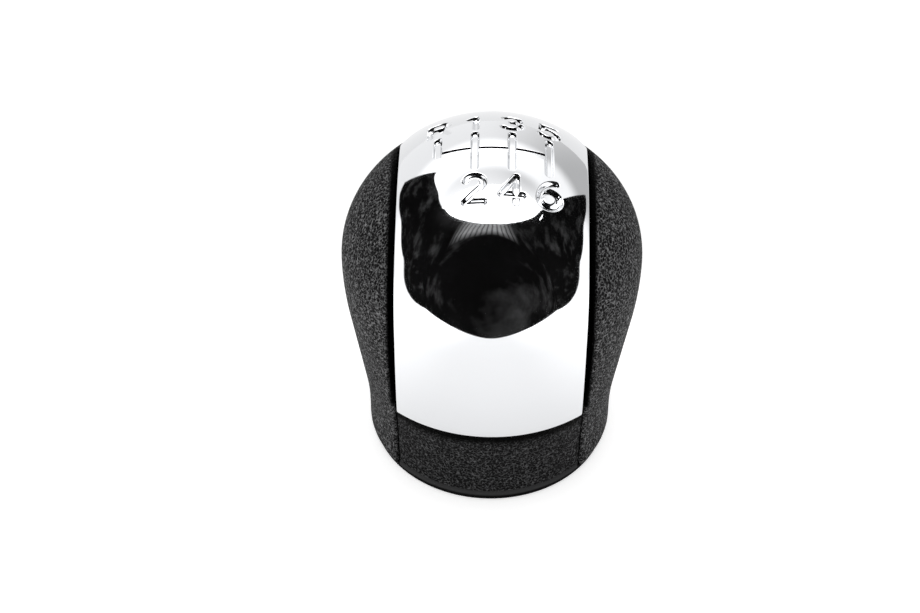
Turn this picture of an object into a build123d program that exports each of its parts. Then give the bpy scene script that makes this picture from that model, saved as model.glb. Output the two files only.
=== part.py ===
from build123d import *

import os
from math import atan, cos, degrees, radians, sin, sqrt, tan

# Gear shift knob: a chrome strap over two grips and an apron, on a ribbed core with a lever bush.
# Millimetres, +Z up. The origin is on the lever axis at the underside. The strap looks along -Y.

# Form of the grips
head_radius = 28.6  # widest ring
head_height = 44.7  # height of the widest ring
head_rise = 21.6  # apex of the grips' form above the widest ring
neck_radius = 24.1  # straight foot of the neck
neck_height = 5.0  # height at which the neck starts to flare
flare_steepness = 1.385  # slope of the flare's straight part over its mean slope
head_fullness = 0.92  # shoulder radius over the head's rise above the widest ring
grip_wall = 4.4
foot_height = 1.0  # underside of grips and apron, which stand on the base plate's flange
foot_fillet = 1.2
rim_fillet = 0.5  # grips' edges beside the strap and the apron
seam_width = 0.7  # groove along the rear joint of the two grips
seam_depth = 0.4

# Chrome strap
plate_width = 35.5
plate_wall = 2.2
plate_crown = 29.0  # radius across the strap
plate_bottom = 20.6  # height of its lower edge
plate_proud = 0.3  # lower edge and foremost line in front of the grips' form
plate_lift = 2.2  # top above the apex of the grips' form
spring_lift = 1.3  # foremost line above the widest ring
plate_fullness = 0.89  # shoulder radius over the strap's rise above that line
tail_inset = 4.1  # rear edge in front of the grips' rearmost line
tail_bow = 11.0  # bow of the rear edge
chin_overrun = 1.3  # drawn length of the middle line below the foremost line, over the length that is kept
plate_fillet = 0.6  # along its sides
plate_end_fillet = 0.4  # along its lower and rear edges
bed_gap = 0.15  # under the strap, to grips and saddle
edge_gap = 0.3  # beside the strap, to the grips
channel_width = 1.0  # widest part of the channel beside the strap, over the edge gap
channel_height = 33.0  # height of that widest part
channel_drop = 7.3  # height at which the channel has closed, below the apex of the grips' form
channel_close = 0.5  # how far the closing curve runs in under the strap
channel_slope = 0.15  # sideways run of that curve over its rise
corner_gap = 0.2  # at the strap's lower corners, over the edge gap
lip_opening = 25.0  # between the two grips' inner lips, under the strap
lip_lap = 8.5  # rear lip under the strap's tail

# Strap's snap legs
leg_width = 4.0
leg_thickness = 1.6
leg_spacing = 13.0  # across the strap
leg_pitch = 9.0  # along the strap
leg_drop = 9.5  # tips below the strap's underside, along the legs
leg_root = 0.3  # roots below the plane that touches the underside between the legs, within the curved wall
barb_drop = 5.2  # seats of the barbs below that plane
barb_size = 0.8
leg_gap = 0.35  # around a leg in the saddle's window
draw_angle = 45.0  # direction in which the legs are pushed home, from straight down

# Front apron
apron_width = 35.2
apron_recess = 0.5  # apron's face behind the grips' face
seam_gap = 0.2  # between apron and grip
seam_lap = 1.5  # grips' inner layer behind the apron's sides
hem_radius = 0.75  # rounded lip along the lower edge
hem_proud = 0.35  # lip in front of the apron's face
tongue_wall = 1.5
tongue_height = 5.0  # part of the apron that goes up behind the strap

# Base plate and its screws
base_radius = 23.4
spigot_height = 1.6
spigot_gap = 0.15
base_hole_gap = 0.2  # around the bush's flange
screw_angle = 22.5  # from a grip's middle to each of its two screws
screw_radius = 1.1
screw_head_radius = 2.1
screw_length = 8.5
screw_sink = 0.15  # head below the underside
screw_gap = 0.1
screw_head_angle = 90.0
screw_tip = 1.0
boss_radius = 2.7
boss_bite = 0.6  # boss into the grip's wall
boss_height = 11.0
boss_gap = 0.6  # bosses to the core's flange

# Lever bush and core
bore_radius = 6.0  # for a plain 12 mm lever
bush_radius = 8.0
bush_flange_radius = 9.6
bush_top = 43.0
bush_gap = 0.05
hub_radius = 11.0
hub_roof = 4.0
core_flange_wall = 2.4
rib_thickness = 2.4
rib_webs = 2  # webs crossing at the hub
rib_gap = 0.15  # between ribs and grips
saddle_wall = 5.2
saddle_gap = 0.3  # beside the saddle, to the lips

skin_tolerance = 0.001  # distance within which an edge counts as lying on the grips' skin

# Worked out from the sizes above
apex = head_height + head_rise
knob_height = apex + plate_lift
far = 2 * knob_height  # reach of cutting shapes, well outside the knob
core_floor = foot_height + spigot_height
flare_run = head_height - neck_height
flare_spread = head_radius - neck_radius
flare_angle = atan(flare_steepness * flare_spread / flare_run)
bend_radius = (flare_steepness - 1) * flare_spread / (2 * (1 / cos(flare_angle) - 1))
flare_middle = (neck_radius + head_radius) / 2
chin_skin = flare_middle + (plate_bottom - (neck_height + head_height) / 2) * tan(flare_angle)
plate_chin = chin_skin + plate_proud
plate_reach = head_radius + plate_proud
plate_spring = head_height + spring_lift
plate_tail = head_radius - tail_inset
lip_tail = plate_tail - lip_lap
channel_top = apex - channel_drop
pocket_depth = plate_wall + bed_gap
boss_floor = core_floor + bed_gap
shell_radius = neck_radius - grip_wall
screw_circle = shell_radius - boss_radius + boss_bite
screw_x = screw_circle * cos(radians(screw_angle))
screw_y = screw_circle * sin(radians(screw_angle))
core_flange_radius = screw_circle - boss_radius - boss_gap
plate_half = plate_width / 2
saddle_half = lip_opening / 2 - saddle_gap


def arch(half_span: float, rise: float, fullness: float) -> tuple[float, float, float]:
    """Shoulder radius, crown radius and meeting angle of a three-centred arch."""
    shoulder = fullness * rise
    inside = half_span - shoulder
    crown = (rise**2 + inside**2 - shoulder**2) / (2 * (rise - shoulder))
    meet = degrees(atan((crown - rise) / inside))
    return shoulder, crown, meet


def turned_section(inset: float, floor: float, plane: Plane) -> Sketch:
    """Half-section of the grips' form, drawn in by inset, from the floor up to the apex."""
    shoulder, crown, meet = arch(head_radius, head_rise, head_fullness)
    flare = degrees(flare_angle)
    wall = neck_radius - inset
    with BuildSketch(plane) as section:
        with BuildLine():
            Line((0, floor), (wall, floor))
            Line((wall, floor), (wall, neck_height))
            waist = CenterArc((neck_radius + bend_radius, neck_height), bend_radius + inset, 180, -flare)
            belly = CenterArc((head_radius - bend_radius, head_height), bend_radius - inset, -flare, flare)
            Line(waist @ 1, belly @ 0)
            CenterArc((head_radius - shoulder, head_height), shoulder - inset, 0, meet)
            top = CenterArc((0, apex - crown), crown - inset, meet, 90 - meet)
            Line(top @ 1, (0, floor))
        make_face()
    return section.sketch


# Middle line of the strap's face, from below its lower edge, over the crown, to behind its rear edge
strap_shoulder, strap_crown, strap_meet = arch(plate_reach, knob_height - plate_spring, plate_fullness)
chin_drop = plate_spring - plate_bottom
chin_sag = plate_reach - plate_chin
chin_radius = (chin_drop**2 + chin_sag**2) / (2 * chin_sag)
chin_turn = chin_overrun * degrees(atan(chin_drop / chin_radius))
shoulder_centre = plate_reach - strap_shoulder
with BuildLine(Plane.YZ) as strap_line:
    CenterArc((chin_radius - plate_reach, plate_spring), chin_radius, 180 + chin_turn, -chin_turn)
    CenterArc((-shoulder_centre, plate_spring), strap_shoulder, 180, -strap_meet)
    CenterArc((0, knob_height - strap_crown), strap_crown, 180 - strap_meet, 2 * strap_meet - 180)
    CenterArc((shoulder_centre, plate_spring), strap_shoulder, strap_meet, -strap_meet)
strap_path = strap_line.wires()[0]
strap_start = Plane(strap_path @ 0, x_dir=(1, 0, 0), z_dir=strap_path % 0)


def strap_band(half_width: float, top: float, bottom: float, rounding: float = 0) -> Part:
    """Length of the strap's form between two depths below its face, with rounded upper corners if asked."""

    def edge_depth(depth: float) -> float:
        return plate_crown - sqrt((plate_crown - depth) ** 2 - half_width**2)

    with BuildPart() as band:
        with BuildSketch(strap_start) as section:
            with BuildLine():
                high = edge_depth(top)
                low = edge_depth(bottom)
                face = ThreePointArc((-half_width, high), (0, top), (half_width, high))
                back = ThreePointArc((half_width, low), (0, bottom), (-half_width, low))
                Line(face @ 1, back @ 0)
                Line(back @ 1, face @ 0)
            make_face()
            if rounding:
                fillet(section.vertices().group_by(Axis.Y)[0], rounding)
        sweep(path=strap_path)
    return band.part


def strap_plan(half_width: float, tail: float, floor: float) -> Part:
    """Upright prism with the strap's outline from above, with its bowed rear end."""
    with BuildPart() as plan:
        with BuildSketch(Plane.XY.offset(floor)):
            with BuildLine():
                corner = tail - tail_bow
                left, right = (-half_width, corner), (half_width, corner)
                Polyline(left, (-half_width, -far), (half_width, -far), right)
                ThreePointArc(right, (0, tail), left)
            make_face()
        extrude(amount=far)
    return plan.part


leg_reach = strap_shoulder * cos(radians(draw_angle))
leg_rise = strap_shoulder * sin(radians(draw_angle))
draw_plane = Plane(
    origin=(0, -shoulder_centre - leg_reach, plate_spring + leg_rise),
    x_dir=(1, 0, 0),
    z_dir=(0, sin(radians(draw_angle)), -cos(radians(draw_angle))),
)


def strap_legs(grow_width: float, grow_thickness: float, start: float, stop: float) -> Part:
    """The snap legs between two depths under the strap's wall, grown by the given amounts."""
    with BuildPart() as legs:
        with BuildSketch(draw_plane.offset(plate_wall + start)):
            with GridLocations(leg_spacing, leg_pitch, 2, 2):
                Rectangle(leg_width + 2 * grow_width, leg_thickness + 2 * grow_thickness)
        extrude(amount=stop - start)
    return legs.part


# Chrome strap with its snap legs
saddle_depth = pocket_depth + saddle_wall
plate_blank = strap_band(plate_half, 0, plate_wall, plate_fillet)
plate_outline = strap_plan(plate_half, plate_tail, plate_bottom)
plate_legs = strap_legs(0, 0, leg_root, leg_drop)
plate_barbs = strap_legs(0, barb_size, barb_drop, leg_drop)
with BuildPart() as cover_plate:
    add(plate_blank)
    add(plate_outline, mode=Mode.INTERSECT)
    lower_edges = cover_plate.edges().filter_by_position(Axis.Z, plate_bottom, plate_bottom)
    rear_edges = cover_plate.faces().sort_by(Axis.Y)[-1].edges()
    fillet([lower_edges.sort_by(Axis.Y)[0], rear_edges.sort_by(Axis.Z)[-1]], plate_end_fillet)
    add(plate_legs)
    add(plate_barbs)
cover_plate.part.label = "cover_plate"

# Room that the strap takes out of the grips
pocket_half = plate_half + edge_gap
pocket_blank = strap_band(pocket_half, -plate_crown / 2, pocket_depth)
pocket_outline = strap_plan(pocket_half, plate_tail + edge_gap, plate_bottom - edge_gap)
with BuildPart() as strap_pocket:
    add(pocket_blank)
    add(pocket_outline, mode=Mode.INTERSECT)

# Opening between the grips at the front: beside the apron, then bowed to a channel beside the strap
window_half = apron_width / 2 + seam_gap


def front_prism(shrink: float) -> Part:
    """Prism through the front opening, with its sides drawn in by shrink."""
    with BuildPart() as prism:
        with BuildSketch(Plane.XZ):
            with BuildLine():
                rim = Spline(
                    (-window_half + shrink, 0),
                    (-pocket_half - corner_gap + shrink, plate_bottom),
                    (-pocket_half - channel_width + shrink, channel_height),
                    (-pocket_half + channel_close + shrink, channel_top),
                    tangents=((0, 1), (channel_slope, 1)),
                )
                Polyline(rim @ 1, (0, channel_top), (0, 0), rim @ 0)
            make_face()
            mirror(about=Plane.YZ)
        extrude(amount=far)
    return prism.part


pocket_section = turned_section(pocket_depth, foot_height, Plane.XZ)
front_cut = front_prism(0)
with BuildPart() as front_opening:
    add(front_cut)
    revolve(pocket_section, axis=Axis.Z, mode=Mode.SUBTRACT)

# Groove along the rear joint of the grips
seam_outer = turned_section(0, foot_height, Plane.YZ)
seam_inner = turned_section(seam_depth, foot_height, Plane.YZ)
with BuildPart() as seam:
    extrude(seam_outer, amount=seam_width / 2, both=True)
    extrude(seam_inner, amount=seam_width, both=True, mode=Mode.SUBTRACT)

# Grips' outer form, whose skin tells rim edges from inner ones
outer_section = turned_section(0, foot_height, Plane.XZ)
inner_section = turned_section(grip_wall, foot_height, Plane.XZ)
with BuildPart() as knob_form:
    revolve(outer_section, axis=Axis.Z)
form_skin = knob_form.part.shells()[0]


def is_rim(edge: Edge) -> bool:
    """Whether an edge runs up or down on the grips' skin, away from the rear joint."""
    middle = edge @ 0.5
    on_skin = form_skin.distance_to(Vertex(middle.X, middle.Y, middle.Z)) < skin_tolerance
    return on_skin and edge.bounding_box().size.Z > seam_width and middle.X < -seam_width


# Left grip: half a turned shell with inner lips under the strap and two screw bosses
lip_floor = plate_bottom - edge_gap
with BuildPart() as left_grip:
    revolve(outer_section, axis=Axis.Z)
    revolve(inner_section, axis=Axis.Z, mode=Mode.SUBTRACT)
    foot_edges = left_grip.edges().filter_by(GeomType.CIRCLE).group_by(Axis.Z)[0]
    fillet(foot_edges.sort_by(SortBy.RADIUS)[-1], foot_fillet)
    split(bisect_by=Plane.YZ, keep=Keep.BOTTOM)
    add(front_opening.part, mode=Mode.SUBTRACT)
    add(strap_pocket.part, mode=Mode.SUBTRACT)
    fillet(left_grip.edges().filter_by(is_rim), rim_fillet)
    add(seam.part, mode=Mode.SUBTRACT)
    with BuildSketch(Plane.XY.offset(lip_floor)):
        with Locations((0, lip_tail)):
            Rectangle(lip_opening, far, align=(Align.CENTER, Align.MAX))
    extrude(amount=far, mode=Mode.SUBTRACT)
    with BuildSketch(Plane.XY):
        Rectangle(2 * (window_half - seam_lap), far, align=(Align.CENTER, Align.MAX))
    extrude(amount=lip_floor, mode=Mode.SUBTRACT)
    with BuildSketch(Plane.XY.offset(boss_floor)):
        with Locations((-screw_x, -screw_y), (-screw_x, screw_y)):
            Circle(boss_radius)
    extrude(amount=boss_height)
    with BuildSketch(Plane.XY.offset(boss_floor)):
        with Locations((-screw_x, -screw_y), (-screw_x, screw_y)):
            Circle(screw_radius + screw_gap)
    extrude(amount=screw_length, mode=Mode.SUBTRACT)
left_grip.part.label = "left_grip"

# Right grip: the left one mirrored
with BuildPart() as right_grip:
    mirror(left_grip.part, about=Plane.YZ)
right_grip.part.label = "right_grip"

# Tongue of the apron, behind the strap's lower end
tongue_section = turned_section(grip_wall - tongue_wall, foot_height, Plane.XZ)
tongue_base = lip_floor - tongue_wall
with BuildPart() as tongue:
    with BuildSketch(Plane.XY.offset(tongue_base)):
        Rectangle(2 * saddle_half, far, align=(Align.CENTER, Align.MAX))
    extrude(amount=tongue_wall + edge_gap + tongue_height)
    revolve(tongue_section, axis=Axis.Z, mode=Mode.INTERSECT)
    revolve(inner_section, axis=Axis.Z, mode=Mode.SUBTRACT)

# Front apron with its rounded lip: an outer layer between the grips' rims on a narrower inner layer
apron_section = turned_section(apron_recess, foot_height, Plane.XZ)
lap_section = turned_section(pocket_depth - bed_gap, foot_height, Plane.XZ)
apron_cut = front_prism(seam_gap)
hem_middle = neck_radius - apron_recess + hem_proud - hem_radius
with BuildPart() as apron_face:
    revolve(apron_section, axis=Axis.Z)
    with BuildSketch(Plane.XZ):
        with Locations((hem_middle, foot_height + hem_radius)):
            Circle(hem_radius)
    revolve(axis=Axis.Z)
    revolve(lap_section, axis=Axis.Z, mode=Mode.SUBTRACT)
    add(apron_cut, mode=Mode.INTERSECT)
with BuildPart() as front_apron:
    revolve(lap_section, axis=Axis.Z)
    revolve(inner_section, axis=Axis.Z, mode=Mode.SUBTRACT)
    with BuildSketch(Plane.XY):
        Rectangle(2 * (window_half - seam_lap - seam_gap), far, align=(Align.CENTER, Align.MAX))
    extrude(amount=far, mode=Mode.INTERSECT)
    add(apron_face.part)
    split(bisect_by=Plane.XY.offset(lip_floor), keep=Keep.BOTTOM)
    add(tongue.part)
front_apron.part.label = "front_apron"

# Base plate with a spigot inside the shells and countersunk holes
underside = Plane(origin=(0, 0, 0), x_dir=(1, 0, 0), z_dir=(0, 0, -1))
sink_radius = screw_head_radius + screw_gap + screw_sink
with BuildPart() as base_plate:
    with BuildSketch(Plane.XY):
        Circle(base_radius)
    extrude(amount=foot_height)
    with BuildSketch(Plane.XY):
        Circle(shell_radius - spigot_gap)
    extrude(amount=core_floor)
    with BuildSketch(Plane.XY):
        Circle(bush_flange_radius + base_hole_gap)
    extrude(amount=core_floor, mode=Mode.SUBTRACT)
    with Locations(underside):
        with GridLocations(2 * screw_x, 2 * screw_y, 2, 2):
            CounterSinkHole(screw_radius + screw_gap, sink_radius, counter_sink_angle=screw_head_angle)
base_plate.part.label = "base_plate"

# Countersunk screws, upright from the underside into the grips' bosses
head_top = screw_sink + (screw_head_radius - screw_radius) / tan(radians(screw_head_angle / 2))
screw_end = screw_sink + screw_length
with BuildPart() as screw:
    with BuildSketch(Plane.XZ):
        with BuildLine():
            Polyline(
                (0, screw_sink),
                (screw_head_radius, screw_sink),
                (screw_radius, head_top),
                (screw_radius, screw_end - screw_tip),
                (0, screw_end),
                close=True,
            )
        make_face()
    revolve(axis=Axis.Z)
with BuildPart() as base_screws:
    with GridLocations(2 * screw_x, 2 * screw_y, 2, 2):
        add(screw.part)
base_screws.part.label = "base_screws"

# Lever bush: flanged sleeve with the lever's bore
with BuildPart() as lever_bush:
    with BuildSketch(Plane.XZ):
        with BuildLine():
            Polyline(
                (bore_radius, 0),
                (bush_flange_radius, 0),
                (bush_flange_radius, core_floor),
                (bush_radius, core_floor),
                (bush_radius, bush_top),
                (bore_radius, bush_top),
                close=True,
            )
        make_face()
    revolve(axis=Axis.Z)
lever_bush.part.label = "lever_bush"

# Core: hub, flange and ribs inside the grips, with the saddle that carries the strap
core_section = turned_section(grip_wall + rib_gap, core_floor, Plane.XZ)
saddle_blank = strap_band(saddle_half, pocket_depth, saddle_depth)
saddle_outline = strap_plan(saddle_half, lip_tail - saddle_gap, plate_bottom + tongue_height + saddle_gap)
leg_windows = strap_legs(leg_gap, leg_gap, 0, leg_drop + leg_gap)
barb_rooms = strap_legs(leg_gap, barb_size + leg_gap, barb_drop - leg_gap, leg_drop + leg_gap)
with BuildPart() as saddle:
    add(saddle_blank)
    add(saddle_outline, mode=Mode.INTERSECT)
with BuildPart() as core:
    with BuildSketch(Plane.XY.offset(core_floor)):
        with PolarLocations(0, rib_webs, 0, 180):
            Rectangle(rib_thickness, far)
    extrude(amount=far)
    revolve(core_section, axis=Axis.Z, mode=Mode.INTERSECT)
    with BuildSketch(Plane.XY.offset(core_floor)):
        Circle(hub_radius)
    extrude(amount=bush_top + hub_roof - core_floor)
    with BuildSketch(Plane.XY.offset(core_floor)):
        Circle(core_flange_radius)
    extrude(amount=core_flange_wall)
    add(saddle.part)
    with BuildSketch(Plane.XY.offset(core_floor)):
        Circle(bush_radius + bush_gap)
    extrude(amount=bush_top + bush_gap - core_floor, mode=Mode.SUBTRACT)
    add(leg_windows, mode=Mode.SUBTRACT)
    add(barb_rooms, mode=Mode.SUBTRACT)
core.part.label = "core"

os.makedirs("parts", exist_ok=True)
export_step(cover_plate.part, "parts/cover_plate.step")
export_step(left_grip.part, "parts/left_grip.step")
export_step(right_grip.part, "parts/right_grip.step")
export_step(front_apron.part, "parts/front_apron.step")
export_step(base_plate.part, "parts/base_plate.step")
export_step(base_screws.part, "parts/base_screws.step")
export_step(lever_bush.part, "parts/lever_bush.step")
export_step(core.part, "parts/core.step")
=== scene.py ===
"""Gear shift knob: its finishes, the shift pattern sunk in its chrome strap, its screws and its studio.

Lengths are in metres, in the frame of the solids, and are written as millimetres times MM.
"""

import math

import bpy
import numpy as np
from mathutils import Matrix, Vector


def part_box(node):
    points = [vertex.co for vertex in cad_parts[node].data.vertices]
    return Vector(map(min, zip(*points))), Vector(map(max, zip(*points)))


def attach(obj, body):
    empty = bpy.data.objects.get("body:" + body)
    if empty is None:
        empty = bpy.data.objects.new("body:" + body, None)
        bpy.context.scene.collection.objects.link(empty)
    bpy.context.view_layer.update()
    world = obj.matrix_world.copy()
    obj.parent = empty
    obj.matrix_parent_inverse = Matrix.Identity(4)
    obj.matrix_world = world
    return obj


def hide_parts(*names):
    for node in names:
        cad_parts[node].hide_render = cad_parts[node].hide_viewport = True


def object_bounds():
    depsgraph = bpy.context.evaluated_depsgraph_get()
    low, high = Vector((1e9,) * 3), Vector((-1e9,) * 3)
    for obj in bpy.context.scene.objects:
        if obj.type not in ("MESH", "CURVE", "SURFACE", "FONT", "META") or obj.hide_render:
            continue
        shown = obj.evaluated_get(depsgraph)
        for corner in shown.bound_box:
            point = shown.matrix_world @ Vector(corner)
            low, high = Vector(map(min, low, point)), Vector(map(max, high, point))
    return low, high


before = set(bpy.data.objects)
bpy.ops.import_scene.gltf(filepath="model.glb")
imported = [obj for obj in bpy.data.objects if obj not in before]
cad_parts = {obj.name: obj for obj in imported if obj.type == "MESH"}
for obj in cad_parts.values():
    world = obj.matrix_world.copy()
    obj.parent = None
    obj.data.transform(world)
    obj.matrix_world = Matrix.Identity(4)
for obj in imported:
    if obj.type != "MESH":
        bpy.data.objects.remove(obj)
CAD_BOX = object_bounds()
STRAP_LOW, STRAP_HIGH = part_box("cover_plate")
SCREWS_LOW, SCREWS_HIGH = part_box("base_screws")

bl_info = {
    "name": "Gear shift knob",
    "version": (1, 0, 0),
    "blender": (4, 5, 0),
    "location": "3D View > Sidebar > Knob",
    "description": "Finishes of a gear shift knob, with a shift pattern sunk in its chrome strap",
    "category": "Object",
}

MM = 0.001


def linear(colour: str) -> tuple[float, float, float, float]:
    """Linear colour of an sRGB hex value."""
    parts = np.array([int(colour[i : i + 2], 16) for i in (1, 3, 5)]) / 255
    light = np.where(parts <= 0.04045, parts / 12.92, ((parts + 0.055) / 1.055) ** 2.4)
    return (*light.tolist(), 1.0)


def length(name: str, description: str, value: float):
    """Property that holds a length."""
    return bpy.props.FloatProperty(
        name=name, description=description, default=value, subtype="DISTANCE", precision=5
    )


def angle(name: str, description: str, degrees: float):
    """Property that holds an angle."""
    return bpy.props.FloatProperty(
        name=name, description=description, default=math.radians(degrees), subtype="ANGLE"
    )


def number(name: str, description: str, value: float):
    """Property that holds a plain number."""
    return bpy.props.FloatProperty(
        name=name, description=description, default=value, subtype="FACTOR", max=10.0
    )


def shade(name: str, description: str, colour: str):
    """Property that holds a colour, given as sRGB hex."""
    return bpy.props.FloatVectorProperty(
        name=name, description=description, default=linear(colour), size=4, min=0.0, max=1.0, subtype="COLOR"
    )


class StrapSizes(bpy.types.PropertyGroup):
    """Form of the chrome strap, as the solid has it."""

    width: length("Width", "Width of the strap", STRAP_HIGH[0] - STRAP_LOW[0])
    height: length("Height", "Top of the strap", STRAP_HIGH[2])
    bottom: length("Bottom", "Height of its lower edge", STRAP_LOW[2])
    reach: length("Reach", "Foremost line in front of the lever axis", -STRAP_LOW[1])
    tail: length("Tail", "Rear edge behind the lever axis", STRAP_HIGH[1])
    chin: length("Chin", "Lower edge in front of the lever axis", 25.98 * MM)
    spring: length("Spring", "Height of the foremost line", 46.0 * MM)
    fullness: number("Fullness", "Shoulder radius over the rise above the foremost line", 0.89)
    tail_bow: length("Tail bow", "Bow of the rear edge", 11.0 * MM)
    wall: length("Wall", "Thickness of the strap", 2.2 * MM)
    crown: length("Crown", "Radius across the strap", 29.0 * MM)
    side_round: length("Side rounding", "Radius along the sides", 0.6 * MM)
    end_round: length("End rounding", "Radius along the lower and rear edges", 0.4 * MM)


class LegSizes(bpy.types.PropertyGroup):
    """Snap legs under the strap, as the solid has them."""

    draw: angle("Draw", "Direction in which they are pushed home, from straight down", 45.0)
    spacing: length("Spacing", "Distance of two legs across the strap", 13.0 * MM)
    pitch: length("Pitch", "Distance of two legs along the strap", 9.0 * MM)
    width: length("Width", "Width of a leg", 4.0 * MM)
    thickness: length("Thickness", "Thickness of a leg", 1.6 * MM)
    root: length("Root", "Root below the strap's face", 2.5 * MM)
    seat: length("Seat", "Seat of the barb below the strap's face", 7.4 * MM)
    tip: length("Tip", "Tip below the strap's face", 11.7 * MM)
    barb: length("Barb", "Barb beside the leg", 0.8 * MM)


class PatternSizes(bpy.types.PropertyGroup):
    """Shift pattern: a gate of grooves and the numerals of the gears."""

    pitch: length("Pitch", "Distance between two lanes", 6.88 * MM)
    bar: length("Neutral", "Cross lane behind the strap's top", 2.4 * MM)
    arm_rear: length("Rear end", "Rear ends of the lanes", 7.8 * MM)
    arm_front: length("Front end", "Front ends of the lanes", -2.5 * MM)
    rear_row: length("Rear row", "Middle of the rear numerals", 13.0 * MM)
    front_row: length("Front row", "Middle of the front numerals", -7.7 * MM)
    groove: length("Groove", "Width of a lane's groove", 1.3 * MM)
    groove_depth: length("Groove depth", "Depth of the lanes", 0.6 * MM)
    groove_slope: length("Groove slope", "Width of a lane's sloped wall", 0.36 * MM)
    bar_depth: length("Neutral depth", "Depth of the cross lane", 0.36 * MM)
    stroke: length("Stroke", "Width of a numeral's stroke", 0.85 * MM)
    stroke_depth: length("Stroke depth", "Depth of the numerals", 0.8 * MM)
    stroke_slope: length("Stroke slope", "Width of a numeral's sloped wall", 0.7 * MM)


class ScrewSizes(bpy.types.PropertyGroup):
    """Countersunk screws, as the solids have them, with what a plain solid leaves out."""

    head: length("Head", "Radius of the head", 2.1 * MM)
    shank: length("Shank", "Radius over the thread", 1.1 * MM)
    tip: length("Tip", "Length of the point", 1.0 * MM)
    thread: length("Thread", "Distance of two turns", 0.8 * MM)
    thread_depth: length("Thread depth", "Depth of the thread", 0.26 * MM)
    recess: length("Recess", "Reach of an arm of the cross recess", 1.25 * MM)
    recess_depth: length("Recess depth", "Depth of the recess in its middle", 0.9 * MM)
    recess_width: length("Recess width", "Width of an arm of the recess", 0.56 * MM)


class FinishSettings(bpy.types.PropertyGroup):
    """Colours and grain sizes that a user would change."""

    chrome: shade("Chrome", "Chrome plating", "#D6D7D9")
    grip: shade("Grips", "Ridges of the grips' grain", "#7A7A7B")
    apron: shade("Apron", "Ridges of the apron's grain", "#565657")
    pits: shade("Pits", "Pits of the grain", "#0E0E0E")
    grain: length("Grain", "Width of a pit", 0.64 * MM)
    # Black plastic, with the shade of the narrow gap under the hem painted into its colour: near black
    base: shade("Base", "Base plate", "#060607")
    bush: shade("Bush", "Lever bush", "#D9D6CB")
    core: shade("Core", "Core inside the grips", "#3A3A3D")
    steel: shade("Screws", "Screws", "#B9BABC")


class StudioSettings(bpy.types.PropertyGroup):
    """Camera and light of the photograph."""

    elevation: angle("Elevation", "Camera above the horizon", 44.6)
    roll: angle("Roll", "Turn of the camera about its line of sight", 0.9)
    distance: length("Distance", "Camera from its target", 450.0 * MM)
    target: length("Target", "Height of the target", 30.0 * MM)
    lens: bpy.props.FloatProperty(
        name="Lens", description="Focal length on a 36 mm sensor", default=90.38, unit="CAMERA"
    )
    shift: number("Shift", "Sideways shift over the image's width", -0.0338)
    room: number("Room", "Brightness of the pale room", 1.17)
    # This is the paper floor's painted glow; no lamp lies under the paper
    table: number("Table", "Brightness of the light table under the paper", 0.44)
    lamp: number("Lamp", "Brightness of the overhead soft box", 3.4)


def node(tree: bpy.types.NodeTree, kind: str, links: dict | None = None, **settings) -> bpy.types.Node:
    """Add a node with its settings. Links give each input a value or another node's output."""
    made = tree.nodes.new(kind)
    for name, value in settings.items():
        setattr(made, name, value)
    for name, source in (links or {}).items():
        if isinstance(source, bpy.types.NodeSocket):
            tree.links.new(source, made.inputs[name])
        else:
            made.inputs[name].default_value = source
    return made


def blank_material(name: str) -> tuple[bpy.types.Material, bpy.types.NodeTree, bpy.types.NodeSocket]:
    """New material with its output's surface socket, and no other node."""
    material = bpy.data.materials.new(name)
    material.use_nodes = True
    tree = material.node_tree
    tree.nodes.clear()
    return material, tree, tree.nodes.new("ShaderNodeOutputMaterial").inputs["Surface"]


def chrome_material(finish: FinishSettings) -> bpy.types.Material:
    """Bright chrome plated on moulded plastic: a mirror with a faint wave and a trace of handling."""
    material, tree, surface = blank_material("bright_chrome_plate")
    place = node(tree, "ShaderNodeTexCoord").outputs["Object"]
    # The moulding under the plating is not quite flat: waves about 9 mm long bend the reflections a little
    wave = node(tree, "ShaderNodeTexNoise", {"Vector": place, "Scale": 1 / (9 * MM), "Detail": 1.0})
    bump = node(
        tree,
        "ShaderNodeBump",
        {"Height": wave.outputs["Fac"], "Strength": 0.5, "Distance": 0.012 * MM},
    )
    # Faint smears about 6 mm wide change the gloss
    smear = node(tree, "ShaderNodeTexNoise", {"Vector": place, "Scale": 1 / (6 * MM), "Detail": 4.0})
    gloss = node(
        tree,
        "ShaderNodeMapRange",
        {"Value": smear.outputs["Fac"], "From Min": 0.35, "From Max": 0.75, "To Min": 0.025, "To Max": 0.06},
    )
    shader = node(
        tree,
        "ShaderNodeBsdfPrincipled",
        {
            "Base Color": finish.chrome,
            "Metallic": 1.0,
            "Roughness": gloss.outputs["Result"],
            "Normal": bump.outputs["Normal"],
        },
    )
    tree.links.new(shader.outputs["BSDF"], surface)
    return material


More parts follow.
